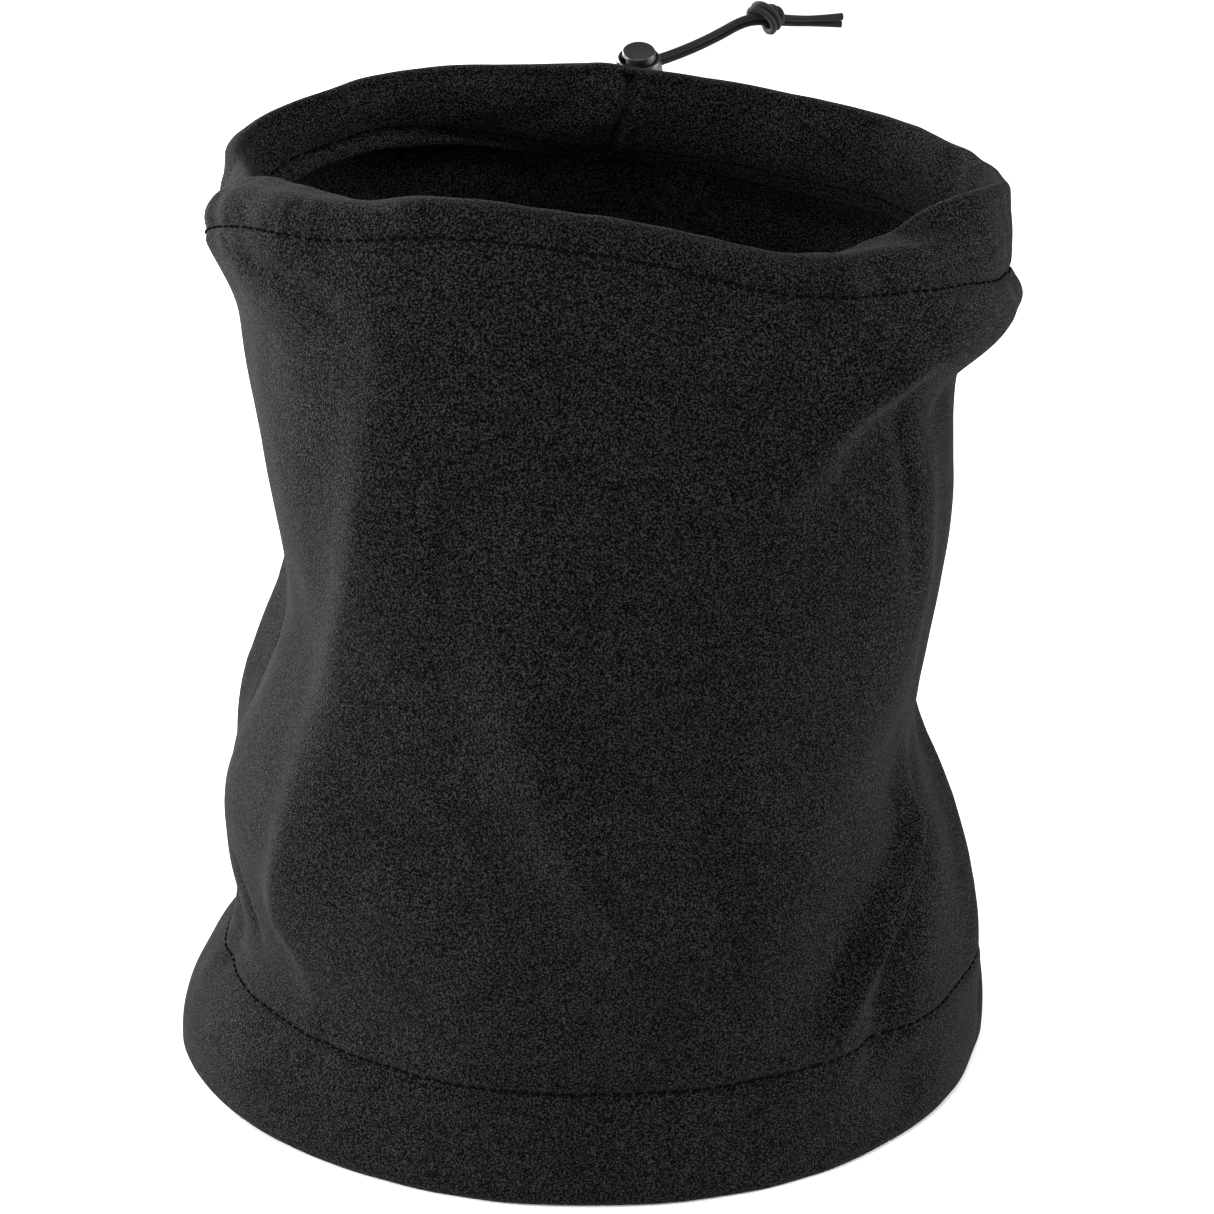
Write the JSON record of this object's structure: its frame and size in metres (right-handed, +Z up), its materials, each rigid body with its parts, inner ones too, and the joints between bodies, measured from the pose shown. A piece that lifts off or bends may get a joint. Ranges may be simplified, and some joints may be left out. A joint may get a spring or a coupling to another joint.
{
  "type": "neck gaiter",
  "caption": "Fleece neck gaiter: a flared tube with a drawcord casing round the top, a hem round the bottom and a sprung cord lock on the elastic cord behind.",
  "frame": {"origin": "centre of the hem's base, on the ground", "axes": "+Z up through the tube, +Y towards the back (seam and cord lock), +X to the wearer's left"},
  "size_m": [0.246, 0.2096, 0.2888],
  "materials": {
    "fleece": "brushed microfleece",
    "thread": "spun polyester thread",
    "cord": "braided elastic cord",
    "lock_plastic": "satin moulded",
    "spring_steel": "drawn wire"
  },
  "bodies": {
    "gaiter": {"fleece_panel": "fleece", "casing_needle_thread": "thread", "casing_bobbin_thread": "thread", "hem_needle_thread": "thread", "hem_bobbin_thread": "thread", "seam_overlock_thread": "thread", "opening_bartack": "thread", "drawcord": "cord", "cord_end_upper": "cord", "cord_end_lower": "cord", "cord_knot": "cord"},
    "lock": {"lock_barrel": "lock_plastic", "lock_spring": "spring_steel"},
    "button": {"lock_button": "lock_plastic"}
  },
  "joints": [
    {"name": "lock_travel", "type": "hinge", "parent": "gaiter", "child": "lock", "pos_m": [0.01143, 0.06039, 0.35529], "axis": [0.3968, -0.851, -0.3438], "range_deg": [0, 16.5]},
    {"name": "button_press", "type": "slide", "parent": "lock", "child": "button", "axis": [0, 0.3746, -0.9272], "range_m": [0, 0.002], "stiffness_N_per_m": 800, "springref_m": -0.002, "deforming": ["lock_spring"]}
  ]
}
